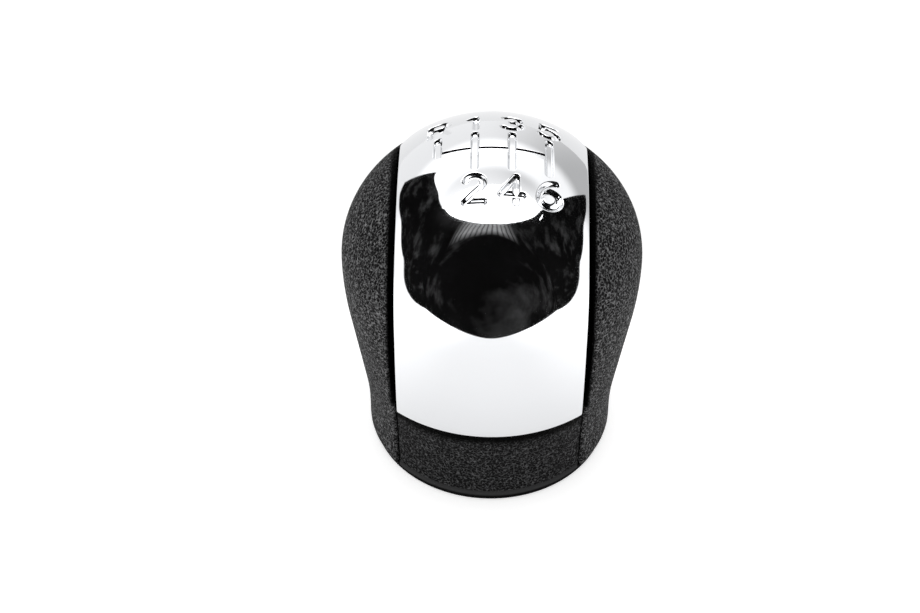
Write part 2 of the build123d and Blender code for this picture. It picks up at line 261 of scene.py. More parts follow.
def grain_material(
    name: str, finish: FinishSettings, ridges: tuple, beside: tuple, above: tuple, hem: float
) -> bpy.types.Material:
    """Black soft-touch plastic from a grained tool: dark pits in a broken net of lighter, glossier ridges.

    Little light comes in next to the strap, and its shade is painted there: the colour goes black going
    inward over the span beside, counted along x, and going up over the span above, counted along z, but not
    on the head's rear.
    Below the hem the tool is polished, and the plastic is smooth; where the hem's edge turns under, it is
    painted darker as shade.
    """
    rear = (12 * MM, 18 * MM)  # stretch along y in which the painted shade next to the strap ends
    shade_drop = 1 / 16  # fall of the painted shade over the distance aside: the strap stands out more there
    hem_blend = 0.3 * MM  # height over which the grain ends at the hem
    hem_round = (1.2 * MM, 1.9 * MM)  # heights of the painted shade where the hem turns under
    material, tree, surface = blank_material(name)
    place = node(tree, "ShaderNodeTexCoord").outputs["Object"]
    way = node(tree, "ShaderNodeSeparateXYZ", {"Vector": place})
    cell = finish.grain
    # A noise about as wide as two pits pulls them about, so that their outlines are not straight
    bend = node(tree, "ShaderNodeTexNoise", {"Vector": place, "Scale": 1 / (1.7 * cell), "Detail": 2.0})
    pull = node(
        tree,
        "ShaderNodeVectorMath",
        {0: bend.outputs["Color"], 1: (1.3 * cell,) * 3, 2: place},
        operation="MULTIPLY_ADD",
    )
    pits = node(
        tree,
        "ShaderNodeTexVoronoi",
        {"Vector": pull.outputs["Vector"], "Scale": 1 / cell},
        feature="DISTANCE_TO_EDGE",
    )
    ridge = node(
        tree,
        "ShaderNodeMapRange",
        {"Value": pits.outputs["Distance"], "From Min": 0.02, "From Max": 0.23, "To Min": 1.0, "To Max": 0.0},
        interpolation_type="SMOOTHSTEP",
    )
    # A noise about as wide as a pit breaks the net
    gap = node(tree, "ShaderNodeTexNoise", {"Vector": place, "Scale": 1 / (0.8 * cell), "Detail": 1.0})
    broken = node(
        tree,
        "ShaderNodeMapRange",
        {"Value": gap.outputs["Fac"], "From Min": 0.38, "From Max": 0.68, "To Min": 0.06, "To Max": 1.0},
    )
    net = node(
        tree,
        "ShaderNodeMath",
        {0: ridge.outputs["Result"], 1: broken.outputs["Result"]},
        operation="MULTIPLY",
    )
    grained = node(
        tree,
        "ShaderNodeMapRange",
        {"Value": way.outputs["Z"], "From Min": hem - hem_blend, "From Max": hem},
    )
    # The hem is an even grey, and painted darker as shade where its edge turns under
    hem_tone = node(
        tree,
        "ShaderNodeMapRange",
        {"Value": way.outputs["Z"], "From Min": hem_round[0], "From Max": hem_round[1], "To Max": 0.36},
    )
    tone = node(
        tree,
        "ShaderNodeMix",
        {"Factor": grained.outputs["Result"], "A": hem_tone.outputs["Result"], "B": net.outputs["Value"]},
        data_type="FLOAT",
    )
    bump = node(
        tree,
        "ShaderNodeBump",
        {"Height": net.outputs["Value"], "Strength": grained.outputs["Result"], "Distance": 0.4 * cell},
    )
    # Mask of the painted shade: beside the strap along x, above a level along z, ending towards the rear
    off = node(tree, "ShaderNodeMath", {0: way.outputs["X"]}, operation="ABSOLUTE")
    outside = node(
        tree,
        "ShaderNodeMapRange",
        {"Value": off.outputs["Value"], "From Min": beside[0], "From Max": beside[1]},
        interpolation_type="SMOOTHSTEP",
    )
    level = node(
        tree,
        "ShaderNodeMath",
        {0: off.outputs["Value"], 1: shade_drop, 2: way.outputs["Z"]},
        operation="MULTIPLY_ADD",
    )
    below = node(
        tree,
        "ShaderNodeMapRange",
        {
            "Value": level.outputs["Value"],
            "From Min": above[0],
            "From Max": above[1],
            "To Min": 1.0,
            "To Max": 0.0,
        },
        interpolation_type="SMOOTHSTEP",
    )
    behind = node(
        tree,
        "ShaderNodeMapRange",
        {"Value": way.outputs["Y"], "From Min": rear[0], "From Max": rear[1]},
    )
    aside = node(
        tree,
        "ShaderNodeMath",
        {0: outside.outputs["Result"], 1: below.outputs["Result"]},
        operation="MAXIMUM",
    )
    clear = node(
        tree,
        "ShaderNodeMath",
        {0: aside.outputs["Value"], 1: behind.outputs["Result"]},
        operation="MAXIMUM",
    )
    colour = node(
        tree,
        "ShaderNodeMix",
        {"Factor": tone.outputs["Result"], "A": finish.pits, "B": ridges},
        data_type="RGBA",
    )
    # Painted shade: the colour is scaled down towards black where the mask is low
    shaded = node(
        tree,
        "ShaderNodeVectorMath",
        {0: colour.outputs["Result"], "Scale": clear.outputs["Value"]},
        operation="SCALE",
    )
    gloss = node(
        tree,
        "ShaderNodeMapRange",
        {"Value": tone.outputs["Result"], "To Min": 0.66, "To Max": 0.34},
    )
    shader = node(
        tree,
        "ShaderNodeBsdfPrincipled",
        {
            "Base Color": shaded.outputs["Vector"],
            "Roughness": gloss.outputs["Result"],
            "IOR": 1.5,
            "Specular IOR Level": 0.012,
            "Normal": bump.outputs["Normal"],
        },
    )
    tree.links.new(shader.outputs["BSDF"], surface)
    return material


def moulded_material(
    name: str, colour: tuple, roughness: float, specular: float, texture: float
) -> bpy.types.Material:
    """Moulded plastic with a spark-eroded texture of the given grit."""
    material, tree, surface = blank_material(name)
    place = node(tree, "ShaderNodeTexCoord").outputs["Object"]
    grit = node(tree, "ShaderNodeTexNoise", {"Vector": place, "Scale": 1 / texture, "Detail": 3.0})
    bump = node(
        tree,
        "ShaderNodeBump",
        {"Height": grit.outputs["Fac"], "Strength": 0.5, "Distance": 0.08 * texture},
    )
    # Flow of the melt: broad patches, about 7 mm wide, a little lighter and darker
    flow = node(tree, "ShaderNodeTexNoise", {"Vector": place, "Scale": 1 / (7 * MM), "Detail": 2.0})
    tint = node(
        tree,
        "ShaderNodeMapRange",
        {"Value": flow.outputs["Fac"], "From Min": 0.3, "From Max": 0.7, "To Min": 0.85, "To Max": 1.1},
    )
    shaded = node(
        tree,
        "ShaderNodeVectorMath",
        {0: tuple(colour)[:3], "Scale": tint.outputs["Result"]},
        operation="SCALE",
    )
    shader = node(
        tree,
        "ShaderNodeBsdfPrincipled",
        {
            "Base Color": shaded.outputs["Vector"],
            "Roughness": roughness,
            "IOR": 1.5,
            "Specular IOR Level": specular,
            "Normal": bump.outputs["Normal"],
        },
    )
    tree.links.new(shader.outputs["BSDF"], surface)
    return material


def steel_material(finish: FinishSettings) -> bpy.types.Material:
    """Zinc-plated steel screw: a soft metal grey with faint marks of turning."""
    material, tree, surface = blank_material("zinc_plated_steel")
    place = node(tree, "ShaderNodeTexCoord").outputs["Object"]
    turning = node(tree, "ShaderNodeTexNoise", {"Vector": place, "Scale": 1 / (0.25 * MM), "Detail": 4.0})
    gloss = node(
        tree,
        "ShaderNodeMapRange",
        {"Value": turning.outputs["Fac"], "From Min": 0.3, "From Max": 0.7, "To Min": 0.24, "To Max": 0.42},
    )
    shader = node(
        tree,
        "ShaderNodeBsdfPrincipled",
        {"Base Color": finish.steel, "Metallic": 1.0, "Roughness": gloss.outputs["Result"]},
    )
    tree.links.new(shader.outputs["BSDF"], surface)
    return material


def dress(name: str, material: bpy.types.Material) -> None:
    """Give a solid's mesh its finish."""
    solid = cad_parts[name]
    solid.data.materials.clear()
    solid.data.materials.append(material)


def new_piece(mesh: bpy.types.Mesh, material: bpy.types.Material) -> bpy.types.Object:
    """Object at the origin for a mesh and its finish."""
    mesh.materials.append(material)
    piece = bpy.data.objects.new(mesh.name, mesh)
    bpy.context.collection.objects.link(piece)
    return piece


def smooth(value: np.ndarray) -> np.ndarray:
    """Smooth step: 3 v^2 - 2 v^3, held between 0 and 1."""
    held = np.clip(value, 0, 1)
    return held**2 * (3 - 2 * held)


def stops(spans: list[tuple[float, float, float]]) -> np.ndarray:
    """Values along a grid's side, from spans of (start, stop, step)."""
    pieces = [np.linspace(a, b, max(2, round(abs(b - a) / step) + 1))[:-1] for a, b, step in spans]
    return np.concatenate([*pieces, [spans[-1][1]]])


def sheet_quads(rows: int, columns: int) -> np.ndarray:
    """Faces of an open grid."""
    index = np.arange(rows * columns).reshape(rows, columns)
    corners = [index[:-1, :-1], index[:-1, 1:], index[1:, 1:], index[1:, :-1]]
    return np.stack(corners, axis=-1).reshape(-1, 4)


def tube_quads(rows: int, columns: int) -> np.ndarray:
    """Faces of a grid that is closed round its columns."""
    index = np.arange(rows * columns).reshape(rows, columns)
    side = np.roll(index, -1, axis=1)
    return np.stack([index[:-1], side[:-1], side[1:], index[1:]], axis=-1).reshape(-1, 4)


class StrapLine:
    """Middle line of the strap's face: four arcs that meet without a corner.

    A point of it at the angle psi, counted from straight ahead over the crown, is
    centre + radius * (-cos psi, sin psi) in the plane of y and z. The run is its length from the crown's
    top, and is positive towards the rear.
    """

    def __init__(self, size: StrapSizes):
        rise = size.height - size.spring
        shoulder = size.fullness * rise
        inside = size.reach - shoulder
        crown = (rise**2 + inside**2 - shoulder**2) / (2 * (rise - shoulder))
        meet = math.atan((crown - rise) / inside)
        drop = size.spring - size.bottom
        sag = size.reach - size.chin
        chin = (drop**2 + sag**2) / (2 * sag)
        start = -math.pi / 6  # below the lower edge
        self.size = size
        self.radius = np.array([chin, shoulder, crown, shoulder])
        self.centre_y = np.array([chin - size.reach, -inside, 0, inside])
        self.centre_z = np.array([size.spring, size.spring, size.height - crown, size.spring])
        self.bend = np.array([start, 0, meet, math.pi - meet, math.pi])
        runs = np.concatenate([[0], np.cumsum(self.radius * np.diff(self.bend))])
        self.run = runs - np.interp(math.pi / 2, self.bend, runs)

    def depth(self, x: np.ndarray, below: float) -> np.ndarray:
        """Depth under the middle line of the arc across the strap that lies below its face by an amount."""
        return self.size.crown - np.sqrt((self.size.crown - below) ** 2 - x**2)

    def point(self, x: np.ndarray, deep: np.ndarray, run: np.ndarray) -> np.ndarray:
        """Point at x across, deep under the middle line, at the run along it."""
        psi = np.interp(run, self.run, self.bend)
        arc = np.clip(np.searchsorted(self.bend, psi) - 1, 0, 3)
        out = self.radius[arc] - deep
        y = self.centre_y[arc] - out * np.cos(psi)
        z = self.centre_z[arc] + out * np.sin(psi)
        return np.stack([np.broadcast_to(x, y.shape), y, z], axis=-1)

    def run_at(self, psi: np.ndarray) -> np.ndarray:
        """Run at an angle."""
        return np.interp(psi, self.bend, self.run)

    def first_run(self, deep: np.ndarray) -> np.ndarray:
        """Run at which a line that is deep under the middle line meets the level of the lower edge."""
        drop = self.size.bottom - self.centre_z[0]
        return self.run_at(np.arcsin(drop / (self.radius[0] - deep)))

    def last_run(self, x: np.ndarray, deep: np.ndarray) -> np.ndarray:
        """Run at which it meets the bowed rear end, a circle seen from above."""
        half = self.size.width / 2
        bow = (half**2 + self.size.tail_bow**2) / (2 * self.size.tail_bow)
        tail = self.size.tail - bow + np.sqrt(bow**2 - x**2)
        on_crown = np.arccos(np.clip(-tail / (self.radius[2] - deep), -1, 1))
        on_shoulder = np.arccos(np.clip(-(tail - self.centre_y[3]) / (self.radius[3] - deep), -1, 1))
        return self.run_at(np.where(on_crown <= self.bend[3], on_crown, on_shoulder))


def bow(x: float, y: float, wide: float, high: float, start: float, stop: float) -> np.ndarray:
    """Points on an arc of an ellipse, between two angles in degrees."""
    turn = np.radians(np.linspace(start, stop, 25))
    return np.stack([x + wide * np.cos(turn), y + high * np.sin(turn)], axis=-1)


def numeral(sign: str) -> list[np.ndarray]:
    """Strokes of a numeral in millimetres about its middle, each a line through points."""
    strokes = {
        "R": [
            np.array([(-1.6, -3), (-1.6, 3)]),
            np.vstack([(-1.6, 3), bow(0.1, 1.5, 1.6, 1.5, 90, -90), (-1.6, 0)]),
            np.array([(0.2, 0), (1.7, -3)]),
        ],
        "1": [np.array([(-1.2, 1.8), (0.1, 3), (0.1, -3)])],
        "2": [np.vstack([bow(0, 1.3, 1.65, 1.7, 165, -38), (-1.7, -3), (1.8, -3)])],
        "3": [bow(-0.1, 1.5, 1.6, 1.5, 150, -90), bow(-0.1, -1.5, 1.8, 1.5, 90, -150)],
        "4": [np.array([(0.8, -3), (0.8, 3), (-2.0, -1.2), (2.0, -1.2)])],
        "5": [np.vstack([(1.4, 3), (-1.2, 3), (-1.4, 0.3), bow(-0.1, -1.05, 1.8, 1.95, 135, -145)])],
        "6": [bow(0, -1.15, 1.8, 1.85, 0, 360), bow(1.5, -1.15, 3.3, 4.15, 180, 95)],
    }
    return strokes[sign]


def distance_to(points: np.ndarray, line: np.ndarray) -> np.ndarray:
    """Distance of each point from a line through the given points: the least over its straight pieces."""
    start = line[:-1]
    along = line[1:] - start
    offset = points[..., None, :] - start
    share = np.clip((offset * along).sum(-1) / (along**2).sum(-1), 0, 1)
    return np.linalg.norm(offset - share[..., None] * along, axis=-1).min(-1)


def sunk_depth(
    points: np.ndarray, strokes: list[np.ndarray], width: float, deep: float, slope: float
) -> np.ndarray:
    """Depth of strokes sunk in the face: a smooth step over the slope, half way down at half the width."""
    sunk = np.zeros(points.shape[:-1])
    reach = (width + slope) / 2
    for line in strokes:
        near = ((points > line.min(0) - reach) & (points < line.max(0) + reach)).all(-1)
        sunk[near] = np.maximum(sunk[near], deep * smooth((reach - distance_to(points[near], line)) / slope))
    return sunk


def lanes_of(pattern: PatternSizes) -> np.ndarray:
    """Places of the gate's four lanes across the strap."""
    return pattern.pitch * (np.arange(4) - 1.5)


def shift_pattern(points: np.ndarray, pattern: PatternSizes) -> np.ndarray:
    """Depth of the whole pattern at points given across and along the strap."""
    lanes = lanes_of(pattern)
    bar = [np.array([(lanes[0], pattern.bar), (lanes[-1], pattern.bar)])]
    arms = [np.array([(lanes[0], pattern.bar), (lanes[0], pattern.arm_rear)])]
    arms += [np.array([(x, pattern.arm_front), (x, pattern.arm_rear)]) for x in lanes[1:]]
    signs = [
        line * MM + (x, row)
        for row, row_signs in ((pattern.rear_row, "R135"), (pattern.front_row, " 246"))
        for x, sign in zip(lanes, row_signs)
        if sign != " "
        for line in numeral(sign)
    ]
    return np.maximum.reduce(
        [
            sunk_depth(points, bar, pattern.groove, pattern.bar_depth, pattern.groove_slope),
            sunk_depth(points, arms, pattern.groove, pattern.groove_depth, pattern.groove_slope),
            sunk_depth(points, signs, pattern.stroke, pattern.stroke_depth, pattern.stroke_slope),
        ]
    )


def leg_solids(line: StrapLine, legs: LegSizes) -> tuple[np.ndarray, list[list[int]]]:
    """Four snap legs: a barbed outline in the plane of y and z, carried across by the leg's width.

    An outline's point at a along the strap and t below its face is the touching point + a * along + t * draw.
    """
    half = legs.thickness / 2
    wide = half + legs.barb
    a = np.array([-half, -half, -wide, -wide, wide, wide, half, half])
    t = np.array([legs.root, legs.seat, legs.seat, legs.tip, legs.tip, legs.seat, legs.seat, legs.root])
    draw = np.array([math.sin(legs.draw), -math.cos(legs.draw)])
    along = np.array([math.cos(legs.draw), math.sin(legs.draw)])
    touch = np.array([line.centre_y[1], line.centre_z[1]]) - line.radius[1] * draw
    corners = len(a)
    verts, faces = [], []
    for x in (-legs.spacing / 2, legs.spacing / 2):
        for shift in (-legs.pitch / 2, legs.pitch / 2):
            outline = touch + (a + shift)[:, None] * along + t[:, None] * draw
            near = 2 * corners * len(verts) + np.arange(corners)
            far = near + corners
            ends = [np.insert(outline, 0, x + side * legs.width / 2, axis=1) for side in (-1, 1)]
            verts.append(np.vstack(ends))
            faces += [near[::-1].tolist(), far.tolist()]
            faces += np.stack([near, np.roll(near, -1), np.roll(far, -1), far], axis=-1).tolist()
    return np.vstack(verts), faces


def strap_mesh(line: StrapLine, legs: LegSizes, pattern: PatternSizes) -> bpy.types.Mesh:
    """Strap as a closed section carried along its middle line, with the shift pattern sunk in its face.

    The section goes over the face, round one side, back under and round the other side. Rows run from the
    lower edge to the rear edge, each column between its own two ends, and each end is rounded by drawing
    the face in. Columns and rows are close together where the pattern lies.
    """
    fine, middling, coarse = 0.1 * MM, 0.3 * MM, 0.4 * MM
    sign = 2.75 * MM  # reach of the fine columns on each side of a lane
    field = 3.85 * MM  # reach of the fine rows before and behind the middle of the numerals
    round_columns, under_columns = 6, 9
    front_rows, rear_rows, round_rows = 33, 17, 5
    size = line.size
    half = size.width / 2
    corner = size.side_round
    # Side rounding, in the section's plane, tangent to the face's arc and to the flat side
    lean = math.asin((half - corner) / (size.crown - corner))
    swing = np.linspace(lean, math.pi / 2, round_columns + 1)[1:]
    round_x = half - corner + corner * np.sin(swing)
    round_deep = size.crown - (size.crown - corner) * math.cos(lean) - corner * np.cos(swing)
    edge = half - corner + corner * math.sin(lean)
    lanes = lanes_of(pattern)
    spans = [(-edge, lanes[0] - sign, coarse)]
    for x in lanes:
        spans += [(spans[-1][1], x - sign, middling), (x - sign, x + sign, fine)]
    spans.append((lanes[-1] + sign, edge, coarse))
    across = stops([span for span in spans if span[1] > span[0]])
    under = np.linspace(half, -half, under_columns)
    x = np.concatenate([across, round_x, under, -round_x[::-1]])
    under_deep = line.depth(under, size.wall)
    deep = np.concatenate([line.depth(across, 0), round_deep, under_deep, round_deep[::-1]])
    face = np.ones(len(x))
    face[len(across) + len(round_x) : -len(round_x)] = 0

    first = line.first_run(deep)
    last = line.last_run(x, deep)
    low, high = pattern.front_row - field, pattern.rear_row + field
    lip = pattern.groove
    rows = stops(
        [
            (low, pattern.front_row + field, fine),
            (pattern.front_row + field, pattern.arm_front + lip, fine),
            (pattern.arm_front + lip, pattern.bar - lip, middling),
            (pattern.bar - lip, pattern.bar + lip, fine),
            (pattern.bar + lip, pattern.arm_rear - lip, middling),
            (pattern.arm_rear - lip, pattern.rear_row - field, fine),
            (pattern.rear_row - field, high, fine),
        ]
    )
    # Past the pattern's corners, where the rear end is bowed, rows are pressed together to stay on the strap
    top = np.minimum(high, last - field)
    ends = size.end_round
    middle = low + (rows[:, None] - low) * (top - low) / (high - low)
    before = first + ends + (low - first - ends) * np.linspace(0, 1, front_rows + 1)[:-1, None]
    after = top + (last - ends - top) * np.linspace(0, 1, rear_rows + 1)[1:, None]
    arc = np.linspace(0, math.pi / 2, round_rows + 1)[1:, None]
    front_end = first + ends * (1 - np.sin(arc[::-1]))
    rear_end = last - ends * (1 - np.sin(arc))
    run = np.vstack([front_end, before, middle, after, rear_end])
    drawn = ends * (1 - np.cos(arc)) * face
    deeper = np.zeros_like(run)
    deeper[:round_rows] = drawn[::-1]
    deeper[-round_rows:] = drawn
    places = np.stack([np.broadcast_to(x, run.shape), run], axis=-1)[:, : len(across)]
    deeper[:, : len(across)] += shift_pattern(places, pattern)
    verts = line.point(x, deep + deeper, run).reshape(-1, 3)

    count, columns = run.shape
    faces = tube_quads(count, columns).tolist()
    faces += [list(range(columns))[::-1], list(range((count - 1) * columns, count * columns))]
    leg_verts, leg_faces = leg_solids(line, legs)
    faces += [[index + len(verts) for index in leg] for leg in leg_faces]
    mesh = bpy.data.meshes.new("chrome_strap")
    mesh.from_pydata(np.vstack([verts, leg_verts]).tolist(), [], faces)
    mesh.update()
    mesh.shade_smooth()
    mesh.set_sharp_from_angle(angle=math.radians(70))
    return mesh


def screws_mesh(screw: ScrewSizes) -> bpy.types.Mesh:
    """Four screws, each a profile turned about its axis, with a cross recess in its head and a thread.

    The recess at (a, b) on the head is the deeper of its two arms, each full inside its width and fading to
    its reach. The thread lowers the shank's radius by its depth times the square of a wave, whose phase is
    the height in turns of the thread less the angle.
    """
    columns, head_rings, shank_rings, tip_rings = 72, 30, 61, 6
    recess_wall = 0.12 * MM  # width of the steep side of the recess's arms
    recess_fade = 1.6  # steepness of an arm's rise to its reach
    low, high = SCREWS_LOW[2], SCREWS_HIGH[2]
    taper = low + screw.head - screw.shank
    turn = np.linspace(0, 2 * math.pi, columns, endpoint=False)
    head = np.linspace(0, screw.head, head_rings + 1)[1:]
    shank = np.linspace(taper, high - screw.tip, shank_rings)
    tip = np.linspace(screw.shank, 0, tip_rings + 2)[1:-1]
    radius = np.concatenate([head, np.full(shank_rings, screw.shank), tip])[:, None]
    point = high - screw.tip * tip / screw.shank
    level = np.concatenate([np.full(head_rings, low), shank, point])[:, None]
    a, b = np.abs(radius * np.cos(turn)), np.abs(radius * np.sin(turn))

    def arm(reach: np.ndarray, side: np.ndarray) -> np.ndarray:
        along = smooth((screw.recess - reach) / screw.recess * recess_fade)
        return along * smooth((screw.recess_width / 2 - side) / recess_wall + 0.5)

    pit = screw.recess_depth * np.maximum(arm(a, b), arm(b, a))
    pit[head_rings:] = 0
    wave = 0.5 + 0.5 * np.cos(2 * math.pi * (level - taper) / screw.thread - turn)
    run_in = smooth((level - taper) / screw.thread) * smooth((high - screw.tip - level) / screw.thread + 1)
    wide = radius - screw.thread_depth * wave**2 * run_in * (level > taper)
    one = np.stack([wide * np.cos(turn), wide * np.sin(turn), level + pit], axis=-1).reshape(-1, 3)
    one = np.vstack([one, (0, 0, low + screw.recess_depth), (0, 0, high)])

    ring = np.arange(columns)
    beside = np.roll(ring, -1)
    rim = (len(wide) - 1) * columns
    recess_floor, end = len(one) - 2, len(one) - 1
    floor_fan = np.stack([np.full(columns, recess_floor), beside, ring], axis=-1)
    end_fan = np.stack([np.full(columns, end), rim + ring, rim + beside], axis=-1)
    x, y = SCREWS_HIGH[0] - screw.head, SCREWS_HIGH[1] - screw.head
    places = np.array([(-x, -y, 0), (x, -y, 0), (-x, y, 0), (x, y, 0)])
    copies = len(one) * np.arange(len(places))[:, None, None]
    verts = (one + places[:, None]).reshape(-1, 3)
    quads = (tube_quads(len(wide), columns) + copies).reshape(-1, 4)
    fans = (np.vstack([floor_fan, end_fan]) + copies).reshape(-1, 3)
    mesh = bpy.data.meshes.new("cross_head_screws")
    mesh.from_pydata(verts.tolist(), [], quads.tolist() + fans.tolist())
    mesh.update()
    mesh.shade_smooth()
    mesh.set_sharp_from_angle(angle=math.radians(50))
    return mesh


class KNOB_OT_strap(bpy.types.Operator):
    """Chrome strap with the shift pattern sunk in it, in place of the plain solid"""

    bl_idname = "knob.strap"
    bl_label = "Chrome strap"

    def execute(self, context):
        scene = context.scene
        mesh = strap_mesh(StrapLine(scene.knob_strap), scene.knob_legs, scene.knob_pattern)
        strap = new_piece(mesh, chrome_material(scene.knob_finish))
        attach(strap, "root")
        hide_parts("cover_plate")
        return {"FINISHED"}


class KNOB_OT_grips(bpy.types.Operator):
    """Grained finish of the two grips and the apron, with painted shade next to the strap"""

    bl_idname = "knob.grips"
    bl_label = "Grips and apron"

    def execute(self, context):
        finish = context.scene.knob_finish
        side, edge = STRAP_HIGH[0], STRAP_LOW[2]
        # The grips get painted shade in the channel beside the strap, above the strap's lower edge
        channel, past_edge = (side + 1.05 * MM, side + 1.85 * MM), (edge - 0.8 * MM, edge + 1.4 * MM)
        # The apron gets painted shade under that edge, over its whole width
        whole_width, under_edge = (CAD_BOX[1][0], CAD_BOX[1][0] + MM), (edge - 4.4 * MM, edge - 1.7 * MM)
        grip = grain_material("grained_soft_touch_plastic", finish, finish.grip, channel, past_edge, hem=0.0)
        apron = grain_material(
            "grained_apron_plastic", finish, finish.apron, whole_width, under_edge, hem=2.6 * MM
        )
        dress("left_grip", grip)
        dress("right_grip", grip)
        dress("front_apron", apron)
        return {"FINISHED"}


class KNOB_OT_base(bpy.types.Operator):
    """Finishes of the base plate, the lever bush and the core"""

    bl_idname = "knob.base"
    bl_label = "Base and core"

    def execute(self, context):
        finish = context.scene.knob_finish
        # The base plate's near-black colour is black plastic with the shade of the gap under the hem painted
        # in
        for solid, plastic, colour, roughness, specular, texture in (
            ("base_plate", "black_abs", finish.base, 0.7, 0.04, 0.3 * MM),
            ("lever_bush", "natural_acetal", finish.bush, 0.38, 0.3, 0.5 * MM),
            ("core", "glass_filled_nylon", finish.core, 0.6, 0.3, 0.25 * MM),
        ):
            dress(solid, moulded_material(plastic, colour, roughness, specular, texture))
        return {"FINISHED"}


class KNOB_OT_screws(bpy.types.Operator):
    """Cross-head screws with their threads, in place of the plain solids"""

    bl_idname = "knob.screws"
    bl_label = "Screws"

    def execute(self, context):
        scene = context.scene
        screws = new_piece(screws_mesh(scene.knob_screws), steel_material(scene.knob_finish))
        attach(screws, "root")
        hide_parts("base_screws")
        return {"FINISHED"}


def overhead_lamp(bright: float) -> None:
    """Oval soft box over the knob. It shows in what is glossy; the room lights the rest."""
    wide, deep = 1.12, 0.4
    place = (-0.02, 0.2, 0.865)
    light = bpy.data.lights.new("overhead_lamp", "AREA")
    light.shape = "ELLIPSE"
    light.size, light.size_y = wide, deep
    # The power at which its face has the given brightness
    light.energy = math.pi * bright * wide * deep * math.pi / 4
    lamp = bpy.data.objects.new("overhead_lamp", light)
    lamp.matrix_world = Matrix.Translation(place)
    lamp.visible_diffuse = False
    bpy.context.collection.objects.link(lamp)


def pale_room(bright: float) -> bpy.types.World:
    """Pale room: soft light on what is matt, and soft bright and grey walls for what is glossy.

    For gloss, the walls are white before the knob and at its sides. Behind it they go from bright on the
    left to grey on the right, with a white band at 20 to 50 degrees above the horizon. On matt faces most
    light comes from above and behind, and a little more from the left than from the right.
    """
    near_wall = 1.6  # brightness of the walls before the knob and at its sides
    most_light = (-0.25, 0.8, 0.6)  # where most of the matt light comes from
    least_light = 0.3  # matt light from the other way, over the full light
    world = bpy.data.worlds.new("pale_room")
    world.use_nodes = True
    tree = world.node_tree
    place = node(tree, "ShaderNodeTexCoord").outputs["Generated"]
    way = node(tree, "ShaderNodeSeparateXYZ", {"Vector": place})
    tone = node(
        tree,
        "ShaderNodeMapRange",
        {"Value": way.outputs["X"], "From Min": -0.1, "From Max": 0.6, "To Min": 1.2, "To Max": 0.64},
        interpolation_type="SMOOTHSTEP",
    )
    rise = node(
        tree,
        "ShaderNodeMapRange",
        {"Value": way.outputs["Z"], "From Min": 0.34, "From Max": 0.5, "To Min": 0.0, "To Max": 0.75},
        interpolation_type="SMOOTHSTEP",
    )
    fall = node(
        tree,
        "ShaderNodeMapRange",
        {"Value": way.outputs["Z"], "From Min": 0.68, "From Max": 0.8, "To Min": 1.0, "To Max": 0.0},
        interpolation_type="SMOOTHSTEP",
    )
    walls = node(
        tree,
        "ShaderNodeMath",
        {0: rise.outputs["Result"], 1: fall.outputs["Result"], 2: tone.outputs["Result"]},
        operation="MULTIPLY_ADD",
    )
    rear = node(
        tree,
        "ShaderNodeMapRange",
        {"Value": way.outputs["Y"], "From Min": 0.25, "From Max": 0.6},
        interpolation_type="SMOOTHSTEP",
    )
    gloss = node(
        tree,
        "ShaderNodeMix",
        {"Factor": rear.outputs["Result"], "A": near_wall, "B": walls.outputs["Value"]},
        data_type="FLOAT",
    )
    over = node(tree, "ShaderNodeVectorMath", {0: place, 1: most_light}, operation="DOT_PRODUCT")
    matt = node(
        tree,
        "ShaderNodeMapRange",
        {
            "Value": over.outputs["Value"],
            "From Min": -0.8,
            "From Max": 0.4,
            "To Min": least_light * bright,
            "To Max": bright,
        },
        interpolation_type="SMOOTHSTEP",
    )
    strength = node(
        tree,
        "ShaderNodeMix",
        {
            "Factor": node(tree, "ShaderNodeLightPath").outputs["Is Glossy Ray"],
            "A": matt.outputs["Result"],
            "B": gloss.outputs["Result"],
        },
        data_type="FLOAT",
    )
    tree.links.new(strength.outputs["Result"], tree.nodes["Background"].inputs["Strength"])
    tree.nodes["Background"].inputs["Color"].default_value = linear("#FFFFFF")
    return world


def hood_mesh() -> bpy.types.Mesh:
    """Hood on the camera's side: a ruled surface from its foot to its top.

    Its foot, at the angle a from straight ahead, stands reach / (cos a - |sin a|, rounded) from the lever
    axis, at most 2 m, so it comes to a blunt edge before the knob. It lies on the floor up to 48 degrees,
    rises to 26 degrees above the horizon at 92, and falls to 17 between 108 and 134. Its top is part of an
    ellipse round the front of the overhead lamp, and droops at its left end.
    """
    reach, farthest, rounding = 0.149, 2.0, 0.12
    left_end, right_end = -136, 131
    left_swing, right_swing = 0.86, 0.5  # turn round the lamp over the turn round the knob
    top_half, top_reach = 0.6, 0.5  # half axes of the ellipse that the top follows
    top_middle, top_height = 0.495, 0.86
    rows, columns = 13, 140
    turn = np.radians(np.linspace(left_end, right_end, columns))
    blunt = np.cos(turn) - np.sqrt(np.sin(turn) ** 2 + rounding**2) + rounding
    away = reach / np.maximum(blunt, reach / farthest)
    aside = np.abs(np.degrees(turn))
    lift = np.radians(26 * smooth((aside - 48) / 44) - 9 * smooth((aside - 108) / 26))
    foot = np.stack([away * np.sin(turn), -away * np.cos(turn), away * np.tan(lift)], axis=-1)
    swing = turn * np.where(turn < 0, left_swing, right_swing)
    droop = 0.2 * smooth((-np.degrees(swing) - 85) / 31)
    y = top_middle - top_reach * np.cos(swing)
    top = np.stack([top_half * np.sin(swing), y, top_height - droop], axis=-1)
    share = np.linspace(0, 1, rows)[:, None, None]
    verts = (foot * (1 - share) + top * share).reshape(-1, 3)
    mesh = bpy.data.meshes.new("dark_hood")
    mesh.from_pydata(verts.tolist(), [], sheet_quads(rows, columns).tolist())
    mesh.shade_smooth()
    return mesh


